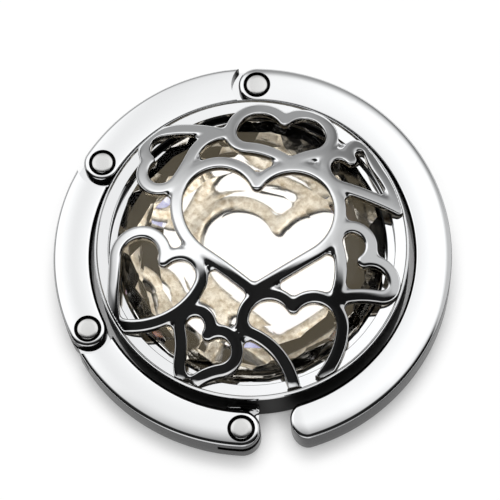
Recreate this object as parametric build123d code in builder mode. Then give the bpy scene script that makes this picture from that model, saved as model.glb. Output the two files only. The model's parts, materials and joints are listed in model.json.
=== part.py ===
from build123d import *
import os
from math import cos, degrees, radians, sin, sqrt

# Folding purse hook: a domed jewelled disc, and a ring of hinged links that wraps round it and opens
# into a hook. The centre of the disc is the Z axis, the underside of the rubber foot is the XY plane,
# and the neck that carries the ring lies towards -Y. All sizes are in millimetres.

# Ring of links, folded shut
ring_outer_radius = 24.0
ring_width = 4.5
link_thickness = 4.6
ring_lift = 0.6
top_bevel = 0.5
bottom_bevel = 0.25

# Hinges, by the polar angle of each rivet on the closed ring, and the free end of the hook arm
arm_hinge_angle = 88.8
third_hinge_angle = 147.4
second_hinge_angle = 205.5
first_hinge_angle = 266.9
arm_tip_angle = -77.5
arm_tip_corner = 1.8

# Forks, tongues and rivets
hinge_depth = 1.75
end_gap = 0.9
tongue_thickness = 1.0
tongue_inset = 0.3
slot_clearance = 0.1
stop_angle = 38.0
rivet_shank_radius = 0.8
rivet_head_overhang = 0.5
rivet_head_height = 0.65
rivet_sink = 0.04
rivet_pocket_gap = 0.35
running_clearance = 0.05
seat_clearance = 0.02

# Base cup of the disc
ring_gap = 0.65
wall_thickness = 1.65
seat_width = 0.9
base_height = 0.6
floor_thickness = 1.15
cover_height = 1.0
seat_drop = 0.85

# Rubber foot under the cup
foot_margin = 3.35

# Rim and domed heart lattice of the cover
rim_height = 8.1
rim_bevel = 0.6
lip_width = 0.35
ledge_drop = 0.35
ledge_overhang = 0.05
dome_rise = 3.2
dome_edge_lift = 1.0
dome_edge_margin = 1.0
bar_width = 1.2
bar_thickness = 1.5
bar_embed = 0.1

# Faceted crystal and its mirror foil
crystal_gap = 0.2
girdle_drop = 0.45
table_gap = 1.1
pavilion_gap = 0.5
pavilion_set_in = 3.3
pavilion_facet_count = 24
foil_thickness = 0.2
facet_counts = (24, 24, 12)
facet_radius_shares = (0.915, 0.71, 0.44)
facet_height_shares = (0.17, 0.52, 0.83)
facet_slopes = (15.0, 11.5, 6.5)

# Swivel neck between the disc and the first link
neck_radius = 1.0
neck_block_margin = 0.4
neck_block_round = 0.4
stub_reach = 0.1
stub_root = 0.8
collar_thickness = 0.32
neck_head_overhang = 0.3
neck_head_height = 0.4
washer_overhang = 0.2
washer_thickness = 0.25
washer_seat_depth = 0.1

# Closing magnets, one in the cup wall and one in the arm's end beside it
magnet_set_back = 6.5
magnet_radius = 1.15
magnet_length = 1.5
magnet_web = 0.85

# One overrun serves all cuts
overrun = 1.0

# Hearts of the lattice, as shares of the lattice reach: the notch, the tip, and for each side
# the top of the lobe, the side of the lobe and a point on the flank
heart_shares = {
    "central": ((0.041, 0.353), (0.023, -0.361),
                (((-0.235, 0.516), (-0.480, 0.254), (-0.300, -0.111)),
                 ((0.343, 0.475), (0.572, 0.225), (0.416, -0.111)))),
    "top": ((0.216, 0.831), (0.252, 0.509),
            (((-0.024, 0.905), (-0.134, 0.756), (-0.026, 0.624)),
             ((0.375, 0.884), (0.522, 0.739), (0.422, 0.582)))),
    "upper_left": ((-0.668, 0.568), (-0.187, 0.732),
                   (((-0.612, 0.352), (-0.476, 0.407), (-0.381, 0.586)),
                    ((-0.702, 0.670), (-0.591, 0.778), (-0.403, 0.778)))),
    "upper_right": ((0.644, 0.558), (0.948, 0.236),
                    (((0.556, 0.591), (0.475, 0.489), (0.587, 0.356)),
                     ((0.718, 0.674), (0.773, 0.621), (0.846, 0.465)))),
    "right": ((0.722, -0.145), (0.538, -0.402),
              (((0.756, 0.022), (0.664, 0.081), (0.555, -0.050)),
               ((0.872, -0.171), (0.920, -0.274), (0.824, -0.365)))),
    "lower_left": ((-0.554, -0.147), (-0.869, -0.524),
                   (((-0.726, 0.060), (-0.875, -0.099), (-0.885, -0.312)),
                    ((-0.405, -0.116), (-0.321, -0.317), (-0.475, -0.485)))),
    "lower_middle": ((-0.268, -0.630), (-0.406, -0.953),
                     (((-0.363, -0.474), (-0.450, -0.594), (-0.449, -0.770)),
                      ((-0.122, -0.641), (-0.081, -0.744), (-0.188, -0.853)))),
    "lower_right": ((0.273, -0.462), (0.262, -1.200),
                    (((0.086, -0.383), (-0.048, -0.531), (0.010, -0.630)),
                     ((0.454, -0.396), (0.587, -0.579), (0.504, -0.822)))),
}

# Sizes that follow
ring_inner_radius = ring_outer_radius - ring_width
ring_middle_radius = ring_outer_radius - ring_width / 2
ring_top = ring_lift + link_thickness
hinge_height = ring_top - hinge_depth
tongue_half_width = ring_width / 2 - tongue_inset
tongue_floor = hinge_height - tongue_thickness / 2
slot_floor = tongue_floor - slot_clearance
slot_height = tongue_thickness + 2 * slot_clearance
slot_depth = tongue_half_width * (cos(radians(stop_angle)) + sin(radians(stop_angle)))
horn_radius = ring_width / 2 + end_gap
rivet_head_radius = rivet_shank_radius + rivet_head_overhang
rivet_pocket_radius = rivet_head_radius + rivet_pocket_gap

wall_radius = ring_inner_radius - ring_gap
cup_bore_radius = wall_radius - wall_thickness
seat_bore_radius = cup_bore_radius - seat_width
seam_height = rim_height - cover_height
seat_height = seam_height - seat_drop
floor_height = base_height + floor_thickness
foot_radius = wall_radius - foot_margin

lip_inner_radius = wall_radius - lip_width
ledge_height = rim_height - ledge_drop
ledge_inner_radius = cup_bore_radius - ledge_overhang
lattice_reach = lip_inner_radius
dome_edge_height = rim_height + dome_edge_lift
dome_height = dome_edge_height + dome_rise
dome_edge_radius = lip_inner_radius - dome_edge_margin
dome_radius = (dome_edge_radius ** 2 + dome_rise ** 2) / (2 * dome_rise)
dome_centre = dome_height - dome_radius
lattice_trim_radius = lattice_reach + bar_embed
lattice_floor = ledge_height - bar_embed

crystal_radius = cup_bore_radius - crystal_gap
crystal_seat = seat_height + running_clearance
crystal_floor = floor_height + foil_thickness + running_clearance
girdle_top_height = rim_height - girdle_drop
table_height = dome_height - bar_thickness - table_gap
pavilion_radius = seat_bore_radius - pavilion_gap
pavilion_foot_radius = pavilion_radius - pavilion_set_in
pavilion_slope = (pavilion_radius - pavilion_foot_radius) / (crystal_seat - crystal_floor)

neck_block_width = 2 * tongue_half_width
neck_block_height = 2 * (hinge_depth - neck_block_margin)
neck_head_radius = neck_radius + neck_head_overhang
washer_radius = neck_head_radius + washer_overhang
stub_face_radius = wall_radius + stub_reach
collar_inner_radius = stub_face_radius + running_clearance
neck_seat_radius = seat_bore_radius + washer_seat_depth
washer_inner_radius = neck_seat_radius - washer_thickness - running_clearance
pin_end_radius = washer_inner_radius - running_clearance
neck_pocket_radius = pin_end_radius - neck_head_height - running_clearance
magnet_angle = arm_tip_angle + magnet_set_back


def on_ring(angle):
    """Point on the rivet circle at a polar angle."""
    return (ring_middle_radius * cos(radians(angle)), ring_middle_radius * sin(radians(angle)))


def hinge_plane(angle, height):
    """Plane on a rivet, with X along the fork's link and Y pointing out of the ring."""
    x, y = on_ring(angle)
    along = (sin(radians(angle)), -cos(radians(angle)), 0)
    return Plane(origin=(x, y, height), x_dir=along, z_dir=(0, 0, 1))


def radial_plane(angle, radius):
    """Upright plane that faces outwards at a polar angle, at the height of the hinges."""
    outward = (cos(radians(angle)), sin(radians(angle)), 0)
    across = (-sin(radians(angle)), cos(radians(angle)), 0)
    origin = (radius * outward[0], radius * outward[1], hinge_height)
    return Plane(origin=origin, x_dir=across, z_dir=outward)


def ring_band(inner, outer, start_angle, end_angle):
    """Flat band between two radii and two polar angles."""
    with BuildSketch() as band:
        with BuildLine():
            far = CenterArc((0, 0), outer, start_angle, end_angle - start_angle)
            near = CenterArc((0, 0), inner, start_angle, end_angle - start_angle)
            Line(far @ 0, near @ 0)
            Line(far @ 1, near @ 1)
        make_face()
    return band.sketch


def link_blank(fork_angle, far_angle, is_arm):
    """Bevelled link with a round fork end and a hollowed or a free far end."""
    with BuildPart() as blank:
        with BuildSketch(Plane.XY.offset(ring_lift)) as plan:
            add(ring_band(ring_inner_radius, ring_outer_radius, far_angle, fork_angle))
            with Locations(on_ring(fork_angle)):
                Circle(ring_width / 2)
            if is_arm:
                corners = plan.vertices().sort_by_distance(Vector(*on_ring(far_angle)))[:2]
                fillet(corners, radius=arm_tip_corner)
        extrude(amount=link_thickness)
        chamfer(blank.faces().sort_by(Axis.Z)[-1].edges(), length=top_bevel)
        chamfer(blank.faces().sort_by(Axis.Z)[0].edges(), length=bottom_bevel)
        if not is_arm:
            with BuildSketch(hinge_plane(far_angle, ring_lift - overrun)):
                Circle(horn_radius)
            extrude(amount=link_thickness + 2 * overrun, mode=Mode.SUBTRACT)
    return blank.part


def tongue(hinge_angle, has_heel):
    """Curved tongue with a round end, a rivet bore and, where the hinge stops early, a square heel."""
    root_angle = hinge_angle + degrees(2 * horn_radius / ring_middle_radius)
    with BuildPart() as blade:
        with BuildSketch(Plane.XY.offset(tongue_floor)):
            add(ring_band(ring_middle_radius - tongue_half_width, ring_middle_radius + tongue_half_width,
                          hinge_angle, root_angle))
        extrude(amount=tongue_thickness)
        with BuildSketch(hinge_plane(hinge_angle, tongue_floor)):
            Circle(tongue_half_width)
            if has_heel:
                Rectangle(tongue_half_width, tongue_half_width, align=(Align.MIN, Align.MIN))
        extrude(amount=tongue_thickness)
        with BuildSketch(hinge_plane(hinge_angle, tongue_floor)):
            Circle(rivet_shank_radius + running_clearance)
        extrude(amount=tongue_thickness, mode=Mode.SUBTRACT)
    return blade.part


def cut_fork(fork_angle):
    """Everything cut from a fork end: the slot, the rivet's bore and the pocket for its head."""
    slot_length = slot_depth + ring_width
    with BuildPart() as cut:
        with BuildSketch(hinge_plane(fork_angle, slot_floor)):
            with Locations((slot_depth - slot_length / 2, 0)):
                Rectangle(slot_length, ring_width + 2 * overrun)
        extrude(amount=slot_height)
        with BuildSketch(hinge_plane(fork_angle, ring_lift - overrun)):
            Circle(rivet_shank_radius + seat_clearance)
        extrude(amount=link_thickness + 2 * overrun)
        with BuildSketch(hinge_plane(fork_angle, ring_top - rivet_head_height)):
            Circle(rivet_pocket_radius)
        extrude(amount=rivet_head_height + overrun)
    return cut.part


def rivet(hinge_angle):
    """Headed rivet that fills the fork, ends flush below it and lets the tongue turn on its shank."""
    head_floor = ring_top - rivet_head_height
    with BuildPart() as pin:
        with BuildSketch(hinge_plane(hinge_angle, ring_lift + rivet_sink)):
            Circle(rivet_shank_radius)
        extrude(amount=head_floor - ring_lift - rivet_sink)
        with BuildSketch(hinge_plane(hinge_angle, head_floor)):
            Circle(rivet_head_radius)
        extrude(amount=rivet_head_height - rivet_sink)
    return pin.part


def link(fork_angle, hinge_angle, has_heel):
    """Link with a fork at one hinge and a tongue at the next."""
    with BuildPart() as piece:
        add(link_blank(fork_angle, hinge_angle, False))
        add(cut_fork(fork_angle), mode=Mode.SUBTRACT)
        add(tongue(hinge_angle, has_heel))
    return piece.part


def heart_band(notch, tip, sides):
    """Flat band of the bar's width along one heart outline, given as shares of the lattice reach."""
    def place(share):
        return (share[0] * lattice_reach, share[1] * lattice_reach)

    with BuildSketch() as band:
        for lobe_top, lobe_side, flank in sides:
            with BuildLine():
                lobe = ThreePointArc(place(notch), place(lobe_top), place(lobe_side))
                shoulder = TangentArc(lobe @ 1, place(flank), tangent=lobe % 1)
                TangentArc(shoulder @ 1, place(tip), tangent=shoulder % 1)
            trace(line_width=bar_width)
        with Locations(place(notch), place(tip)):
            Circle(bar_width / 2)
    return band.sketch


# Base cup: floor, wall and crystal seat, with the neck's stub, the pin's bore and a magnet pocket
with BuildPart() as base_cup:
    with BuildSketch(Plane.XZ):
        with BuildLine():
            Polyline(
                (0, base_height), (wall_radius, base_height), (wall_radius, seam_height),
                (cup_bore_radius, seam_height), (cup_bore_radius, seat_height),
                (seat_bore_radius, seat_height), (seat_bore_radius, floor_height),
                (0, floor_height), close=True)
        make_face()
    revolve(axis=Axis.Z)
    with BuildSketch(radial_plane(first_hinge_angle, wall_radius - stub_root)):
        RectangleRounded(neck_block_width, neck_block_height, neck_block_round)
    extrude(amount=stub_root + stub_reach)
    with BuildSketch(radial_plane(first_hinge_angle, seat_bore_radius - overrun)):
        Circle(neck_radius + running_clearance)
    extrude(amount=wall_radius - seat_bore_radius + 2 * overrun, mode=Mode.SUBTRACT)
    with BuildSketch(radial_plane(first_hinge_angle, neck_pocket_radius)):
        Circle(washer_radius + running_clearance)
    extrude(amount=neck_seat_radius - neck_pocket_radius, mode=Mode.SUBTRACT)
    with BuildSketch(radial_plane(magnet_angle, wall_radius - magnet_web)):
        Circle(magnet_radius + seat_clearance)
    extrude(amount=magnet_web - wall_radius + seat_bore_radius - overrun, mode=Mode.SUBTRACT)

# Rubber foot that grips the table
with BuildPart() as rubber_foot:
    with BuildSketch():
        Circle(foot_radius)
    extrude(amount=base_height)


def dome_point(radius, sink):
    """Point of the dome's section at a radius, sunk by some depth."""
    return (radius, dome_centre - sink + sqrt(dome_radius ** 2 - radius ** 2))


# Shell that the lattice is cut from, domed above and below
with BuildPart() as dome_shell:
    with BuildSketch(Plane.XZ):
        with BuildLine():
            ThreePointArc(dome_point(0, 0), dome_point(lattice_trim_radius / 2, 0),
                          dome_point(lattice_trim_radius, 0))
            Polyline(dome_point(lattice_trim_radius, 0), (lattice_trim_radius, lattice_floor),
                     (cup_bore_radius, lattice_floor), dome_point(cup_bore_radius, bar_thickness))
            ThreePointArc(dome_point(cup_bore_radius, bar_thickness),
                          dome_point(cup_bore_radius / 2, bar_thickness), dome_point(0, bar_thickness))
            Line(dome_point(0, bar_thickness), dome_point(0, 0))
        make_face()
    revolve(axis=Axis.Z)

# Cover: turned rim with a raised lip and a flat ledge, and the domed lattice of hearts that it carries
with BuildPart() as heart_cover:
    with BuildSketch(Plane.XY.offset(lattice_floor - overrun)):
        for notch, tip, sides in heart_shares.values():
            add(heart_band(notch, tip, sides))
    extrude(amount=dome_height - lattice_floor + 2 * overrun)
    add(dome_shell.part, mode=Mode.INTERSECT)
    with BuildSketch(Plane.XZ):
        with BuildLine():
            cover_floor = seam_height + seat_clearance
            Polyline(
                (ledge_inner_radius, cover_floor), (wall_radius, cover_floor),
                (wall_radius, rim_height - rim_bevel), (lip_inner_radius, rim_height),
                (lip_inner_radius, ledge_height), (ledge_inner_radius, ledge_height), close=True)
        make_face()
    revolve(axis=Axis.Z)

# Crystal: round girdle, a back ground to a flat-sided frustum, and a low crown of facets up to a table
crown_height = table_height - girdle_top_height


def pavilion(margin, floor, top):
    """Back of the crystal between two heights, ground to flat sides and widened by a margin."""
    floor_radius = pavilion_foot_radius + pavilion_slope * (floor - crystal_floor) + margin
    top_radius = floor_radius + pavilion_slope * (top - floor)
    with BuildPart() as back:
        with BuildSketch(Plane.XY.offset(floor)):
            Circle(top_radius + overrun)
        extrude(amount=top - floor)
        for step in range(pavilion_facet_count):
            turn = radians(step * 360 / pavilion_facet_count)
            touch = (floor_radius * cos(turn), floor_radius * sin(turn), floor)
            lean = (cos(turn), sin(turn), -pavilion_slope)
            split(bisect_by=Plane(origin=touch, z_dir=lean), keep=Keep.BOTTOM)
    return back.part


with BuildPart() as crystal:
    with BuildSketch(Plane.XY.offset(crystal_seat)):
        Circle(crystal_radius)
    extrude(amount=table_height - crystal_seat)
    for ring in range(len(facet_counts)):
        tilt = radians(facet_slopes[ring])
        reach = facet_radius_shares[ring] * crystal_radius
        height = girdle_top_height + facet_height_shares[ring] * crown_height
        for step in range(facet_counts[ring]):
            turn = radians((step + ring / 2) * 360 / facet_counts[ring])
            touch = (reach * cos(turn), reach * sin(turn), height)
            lean = (sin(tilt) * cos(turn), sin(tilt) * sin(turn), cos(tilt))
            split(bisect_by=Plane(origin=touch, z_dir=lean), keep=Keep.BOTTOM)
    add(pavilion(0, crystal_floor, crystal_seat))

# Mirror foil pressed round the crystal's back
with BuildPart() as foil_backing:
    add(pavilion(foil_thickness + running_clearance, floor_height, seat_height))
    add(pavilion(running_clearance, floor_height + foil_thickness, crystal_seat), mode=Mode.SUBTRACT)

# Swivel lug: pin through the cup's wall, peened inside, with a collar and the first tongue outside
with BuildPart() as swivel_lug:
    with BuildSketch(radial_plane(first_hinge_angle, pin_end_radius)):
        Circle(neck_radius)
    extrude(amount=collar_inner_radius - pin_end_radius)
    with BuildSketch(radial_plane(first_hinge_angle, pin_end_radius - neck_head_height)):
        Circle(neck_head_radius)
    extrude(amount=neck_head_height)
    with BuildSketch(radial_plane(first_hinge_angle, collar_inner_radius)):
        RectangleRounded(neck_block_width, neck_block_height, neck_block_round)
    extrude(amount=collar_thickness)
    with BuildSketch(hinge_plane(first_hinge_angle, tongue_floor)):
        Circle(tongue_half_width)
        Rectangle(tongue_half_width, tongue_half_width, align=(Align.MIN, Align.MIN))
        Rectangle(neck_block_width, ring_middle_radius - collar_inner_radius, align=(Align.CENTER, Align.MAX))
        Circle(rivet_shank_radius + running_clearance, mode=Mode.SUBTRACT)
    extrude(amount=tongue_thickness)

with BuildPart() as swivel_washer:
    with BuildSketch(radial_plane(first_hinge_angle, washer_inner_radius)):
        Circle(washer_radius)
        Circle(neck_radius + running_clearance, mode=Mode.SUBTRACT)
    extrude(amount=washer_thickness)

# Links, counted from the neck, and the long hook arm with its magnet pocket
with BuildPart() as link_1:
    add(link(first_hinge_angle, second_hinge_angle, True))
with BuildPart() as link_2:
    add(link(second_hinge_angle, third_hinge_angle, True))
with BuildPart() as link_3:
    add(link(third_hinge_angle, arm_hinge_angle, False))
with BuildPart() as hook_arm:
    add(link_blank(arm_hinge_angle, arm_tip_angle, True))
    add(cut_fork(arm_hinge_angle), mode=Mode.SUBTRACT)
    with BuildSketch(radial_plane(magnet_angle, ring_inner_radius - overrun)):
        Circle(magnet_radius + seat_clearance)
    extrude(amount=overrun + magnet_length + seat_clearance, mode=Mode.SUBTRACT)

# Rivets, numbered from the neck
with BuildPart() as rivet_1:
    add(rivet(first_hinge_angle))
with BuildPart() as rivet_2:
    add(rivet(second_hinge_angle))
with BuildPart() as rivet_3:
    add(rivet(third_hinge_angle))
with BuildPart() as rivet_4:
    add(rivet(arm_hinge_angle))

# Closing magnets
with BuildPart() as cup_magnet:
    with BuildSketch(radial_plane(magnet_angle, wall_radius - magnet_web - seat_clearance)):
        Circle(magnet_radius)
    extrude(amount=-magnet_length)
with BuildPart() as arm_magnet:
    with BuildSketch(radial_plane(magnet_angle, ring_inner_radius)):
        Circle(magnet_radius)
    extrude(amount=magnet_length)

pieces = {
    "base_cup": base_cup, "rubber_foot": rubber_foot, "heart_cover": heart_cover, "crystal": crystal,
    "foil_backing": foil_backing, "cup_magnet": cup_magnet, "swivel_lug": swivel_lug,
    "swivel_washer": swivel_washer, "link_1": link_1, "link_2": link_2, "link_3": link_3,
    "hook_arm": hook_arm, "arm_magnet": arm_magnet, "rivet_1": rivet_1, "rivet_2": rivet_2,
    "rivet_3": rivet_3, "rivet_4": rivet_4,
}

os.makedirs("parts", exist_ok=True)
for name, piece in pieces.items():
    piece.part.label = name
    export_step(piece.part, "parts/" + name + ".step")
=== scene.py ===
import json
import math

import bmesh
import bpy
from bpy.props import FloatProperty, IntProperty, PointerProperty, StringProperty
from mathutils import Matrix, Vector


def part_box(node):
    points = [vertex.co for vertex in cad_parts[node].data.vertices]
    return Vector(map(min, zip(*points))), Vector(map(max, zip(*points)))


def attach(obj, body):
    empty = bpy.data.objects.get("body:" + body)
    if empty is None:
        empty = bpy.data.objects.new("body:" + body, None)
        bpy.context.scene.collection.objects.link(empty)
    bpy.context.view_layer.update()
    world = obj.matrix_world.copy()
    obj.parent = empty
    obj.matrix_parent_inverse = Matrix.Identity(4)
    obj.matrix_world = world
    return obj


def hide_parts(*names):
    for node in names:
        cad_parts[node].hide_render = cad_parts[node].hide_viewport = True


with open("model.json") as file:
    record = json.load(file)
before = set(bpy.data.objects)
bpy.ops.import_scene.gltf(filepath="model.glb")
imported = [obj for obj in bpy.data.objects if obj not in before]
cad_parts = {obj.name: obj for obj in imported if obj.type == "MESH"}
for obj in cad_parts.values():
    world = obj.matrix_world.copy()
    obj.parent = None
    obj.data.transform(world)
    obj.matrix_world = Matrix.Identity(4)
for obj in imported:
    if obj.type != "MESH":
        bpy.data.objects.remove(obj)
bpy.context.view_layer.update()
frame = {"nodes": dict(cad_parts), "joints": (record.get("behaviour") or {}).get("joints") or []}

bl_info = {
    "name": "Purse Hook",
    "version": (1, 0, 0),
    "blender": (4, 5, 0),
    "location": "View3D > Sidebar > Purse Hook",
    "description": "Dresses a folding purse hook with a heart lattice over a faceted crystal",
    "category": "Object",
}

MM = 0.001

# Places that the frame gives: the hinges of the closed ring, and the heights and radii of the pieces
HINGES = {joint["name"]: Vector(joint["pos_m"]) for joint in frame["joints"]}
HINGE_HEIGHT = HINGES["arm_hinge"].z
RING_MIDDLE_RADIUS = HINGES["arm_hinge"].xy.length
RING_FLOOR, RING_TOP = (corner.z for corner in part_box("link_1"))
CUP_FLOOR, SEAM_HEIGHT = (corner.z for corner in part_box("base_cup"))
CRYSTAL_FLOOR, CRYSTAL_TOP = (corner.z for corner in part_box("crystal"))
CRYSTAL_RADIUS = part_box("crystal")[1].x
COVER_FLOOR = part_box("heart_cover")[0].z
RIM_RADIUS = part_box("heart_cover")[1].x

# Points nearer to each other than this become one: in a new piece, where a bar meets its round end, in a
# copy of a CAD mesh, and in a cut through the stone
MERGE = 0.001 * MM
BAR_MERGE = 0.004 * MM
CAD_MERGE = 0.0005 * MM
CUT_MERGE = 1e-8

# How many straight runs stand for a curve: in a rounded edge, over a bar's crown, round a bar's end or a
# lattice knuckle, along a link, along the arm, round a bore or rivet, round the foot, and round the disc
EDGE_STEPS = 5
CROWN_STEPS = 20
END_STEPS = 32
LINK_STEPS = 48
ARM_STEPS = 120
BORE_STEPS = 64
FOOT_STEPS = 160
DISC_STEPS = 256

# Angle in radians before a far hinge at which a link's bar stops, which leaves room to hollow its end
HOLLOW_ANGLE = 0.155
# Polar angle, in radians, at which the arm's softened shoulder has faded out
SHOULDER_END = math.radians(-45)

# Painted shade on the chrome: 0 on buffed tops, 1 in pockets and slots, and this on side walls
WALL_SHADE = 0.6
# A face is a top where its normal rises more than the first, and a side wall where less than the second
TOP_RISE = 0.85
WALL_RISE = 0.35
# Allowance for a face that lies just at a pocket's edge
EDGE_ROOM = 0.01 * MM

# Share of its pocket's depth that a rivet's head fills, the radius of a rivet's edges, and the head's crown
HEAD_SHARE = 0.92
RIVET_EDGE = 0.12 * MM
HEAD_CROWN = 0.018 * MM

# Links as (node, body, fork's hinge, hinge of the far end or None, whether the tongue has a heel). Each has
# the rivet of its number in its fork.
LINKS = (
    ("link_1", "first_link", "first_hinge", "second_hinge", True),
    ("link_2", "second_link", "second_hinge", "third_hinge", True),
    ("link_3", "third_link", "third_hinge", "arm_hinge", False),
    ("hook_arm", "arm", "arm_hinge", None, False),
)

# Hearts of the lattice as shares of its reach: the notch, the tip, and for each side the top of the
# lobe, the side of the lobe and a point on the flank
HEART_SHARES = (
    ((0.041, 0.353), (0.023, -0.361),
     (((-0.235, 0.516), (-0.480, 0.254), (-0.300, -0.111)),
      ((0.343, 0.475), (0.572, 0.225), (0.416, -0.111)))),
    ((0.216, 0.831), (0.252, 0.509),
     (((-0.024, 0.905), (-0.134, 0.756), (-0.026, 0.624)),
      ((0.375, 0.884), (0.522, 0.739), (0.422, 0.582)))),
    ((-0.668, 0.568), (-0.187, 0.732),
     (((-0.612, 0.352), (-0.476, 0.407), (-0.381, 0.586)),
      ((-0.702, 0.670), (-0.591, 0.778), (-0.403, 0.778)))),
    ((0.644, 0.558), (0.948, 0.236),
     (((0.556, 0.591), (0.475, 0.489), (0.587, 0.356)),
      ((0.718, 0.674), (0.773, 0.621), (0.846, 0.465)))),
    ((0.722, -0.145), (0.538, -0.402),
     (((0.756, 0.022), (0.664, 0.081), (0.555, -0.050)),
      ((0.872, -0.171), (0.920, -0.274), (0.824, -0.365)))),
    ((-0.554, -0.147), (-0.869, -0.524),
     (((-0.726, 0.060), (-0.875, -0.099), (-0.885, -0.312)),
      ((-0.405, -0.116), (-0.321, -0.317), (-0.475, -0.485)))),
    ((-0.268, -0.630), (-0.406, -0.953),
     (((-0.363, -0.474), (-0.450, -0.594), (-0.449, -0.770)),
      ((-0.122, -0.641), (-0.081, -0.744), (-0.188, -0.853)))),
    ((0.273, -0.462), (0.262, -1.200),
     (((0.086, -0.383), (-0.048, -0.531), (0.010, -0.630)),
      ((0.454, -0.396), (0.587, -0.579), (0.504, -0.822)))),
)
# Distance between the points of a heart's middle line, and the bend, as a share of its length, below which
# a run of it is drawn straight
LINE_GAP = 0.3 * MM
STRAIGHT_BEND = 1e-4

# Rows of facets on the stone's crown, as (facets, as a multiple of its facet count; reach, as a share of its
# radius; height, as a share of the crown's; slope in degrees; shift in facets)
CROWN_ROWS = (
    (2, 0.915, 0.13, 19.0, 0.0), (1, 0.86, 0.26, 14.5, 0.5), (1, 0.70, 0.55, 11.0, 0.0),
    (0.5, 0.56, 0.74, 8.0, 0.5), (0.5, 0.42, 0.9, 4.5, 0.0),
)
# Rows on its back, as (facets, radius and height above its floor in mm, slope, shift, and how much steeper
# and flatter every other facet is). The steep wall above them has a slope of its own.
BACK_ROWS = (
    (1, 14.2, 0.9, 29.0, 0.5, 2.0), (1.5, 13.2, 0.45, 16.0, 0.0, 7.0),
    (1.5, 11.9, 0.15, 8.0, 0.5, 5.5), (1.5, 10.4, 0.0, 3.5, 0.0, 2.5),
)
BACK_WALL_SLOPE = 84.0
# The foil lies on the faces whose normals rise less than this
FOIL_RISE = -0.1

# Glass has an index near 1.52. This one is lower, and the foil is a little askew, so that the lattice's
# mirror image lies where the photograph has it.
STONE_INDEX = 1.2
FOIL_TILT = (-0.13, 0.02, 0.0)

# Camera fit: the photograph is 500 pixels wide, and the ring's centre lies at this pixel in it
PICTURE_PIXELS = 500.0
CENTRE_PIXEL = (253.2, 262.1)
PIXELS_PER_METRE = 8235.0
AIM_DEPTH = 3.5 * MM
SENSOR_WIDTH = 36.0

# The floor glows so that it shows white, but for the object's contact shadow: its light, how much of the
# floor glows, and how fast the shadow falls off
FLOOR_LIGHT = 1.03
FLOOR_SHARE = 0.9
SHADOW_POWER = 1.5

# The tent that the metal mirrors, as soft steps of light: the part of the direction that a step follows,
# where it starts and ends, and the light before and after it
TENT_STEPS = {
    "card": ("bowed", 0.13, 0.25, 0.012, 1.0),
    "front": ("away", -0.75, -0.6, 0.75, 0.0),
    "back_wall": ("away", 0.36, 0.75, 1.0, 0.3),
    "right_wall": ("sideways", 0.2, 0.42, 1.0, 0.5),
    "left_wall": ("sideways", -0.85, -0.5, 0.2, 1.0),
    "left_seam": ("sideways", -0.17, -0.09, 0.0, 0.2),
    "right_seam": ("sideways", -0.09, 0.04, 1.0, 0.0),
    "overhead": ("up", 0.05, 0.8, 0.03, 0.3),
}
CARD_BOW = 0.35
TENT_LIGHT = 1.22

# The white card that shows in the stone: its middle and half size as parts of the direction, and its edge,
# which the cut glass spreads into colours
STONE_CARD_MIDDLE = (-0.25, 0.14)
STONE_CARD_SIZE = (0.345, 0.37)
STONE_CARD_EDGE = ((0.91, "FFFFFF"), (0.94, "6E8FE4"), (0.965, "D08A40"), (0.985, "4B463C"))
# Light from the stone has crossed four faces. Light from the lattice's mirror image has crossed eight, and
# more than this tells them apart.
IMAGE_DEPTH = 6.5
STONE_LIGHT = 1.22
IMAGE_LIGHT = 2.7

WHITE = (1.0, 1.0, 1.0, 1.0)


def length(name, text, value):
    """A length property with its default in millimetres."""
    return FloatProperty(name=name, description=text, default=value * MM, min=0.0, precision=5, unit="LENGTH")


def angle(name, text, value):
    """An angle property with its default in degrees."""
    return FloatProperty(name=name, description=text, default=math.radians(value), subtype="ANGLE")


def colour(name, text, value):
    """A colour property kept as an sRGB hex value."""
    return StringProperty(name=name, description=text, default=value)


class RingSizes(bpy.types.PropertyGroup):
    width: length("Bar width", "Width of the ring's bar", 4.5)
    crown: length("Crown", "How far the bar's top is domed", 0.04)
    top_round: length("Top edge", "Radius of the bar's upper edges", 0.34)
    floor_round: length("Lower edge", "Radius of the bar's lower edges", 0.2)
    shoulder_width: length("Shoulder width", "Width of the arm's softened outer shoulder", 1.1)
    shoulder_drop: length("Shoulder drop", "How far that shoulder falls off", 0.16)
    end_gap: length("End gap", "Gap between a fork's round end and the next link", 0.9)
    tip_depth: length("Tip depth", "How far the arm's rounded tip reaches", 1.8)
    tip_angle: angle("Tip angle", "Polar angle of the arm's free end", -77.5)
    tongue_width: length("Tongue width", "Width of a link's tongue", 3.9)
    tongue_thickness: length("Tongue thickness", "Thickness of a link's tongue", 1.0)
    slot_height: length("Slot height", "Height of the slot in a fork", 1.2)
    slot_depth: length("Slot depth", "How far a slot runs behind its rivet", 2.737)
    shank_radius: length("Shank radius", "Radius of a rivet's shank", 0.8)
    bore_radius: length("Bore radius", "Radius of the bore in a tongue", 0.85)
    head_radius: length("Head radius", "Radius of a rivet's head", 1.3)
    head_height: length("Head height", "Height of a rivet's head", 0.65)
    pocket_radius: length("Pocket radius", "Radius of the pocket round a rivet's head", 1.65)
    magnet_radius: length("Magnet radius", "Radius of the arm's magnet pocket", 1.17)
    magnet_depth: length("Magnet depth", "Depth of the arm's magnet pocket", 1.52)


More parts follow.
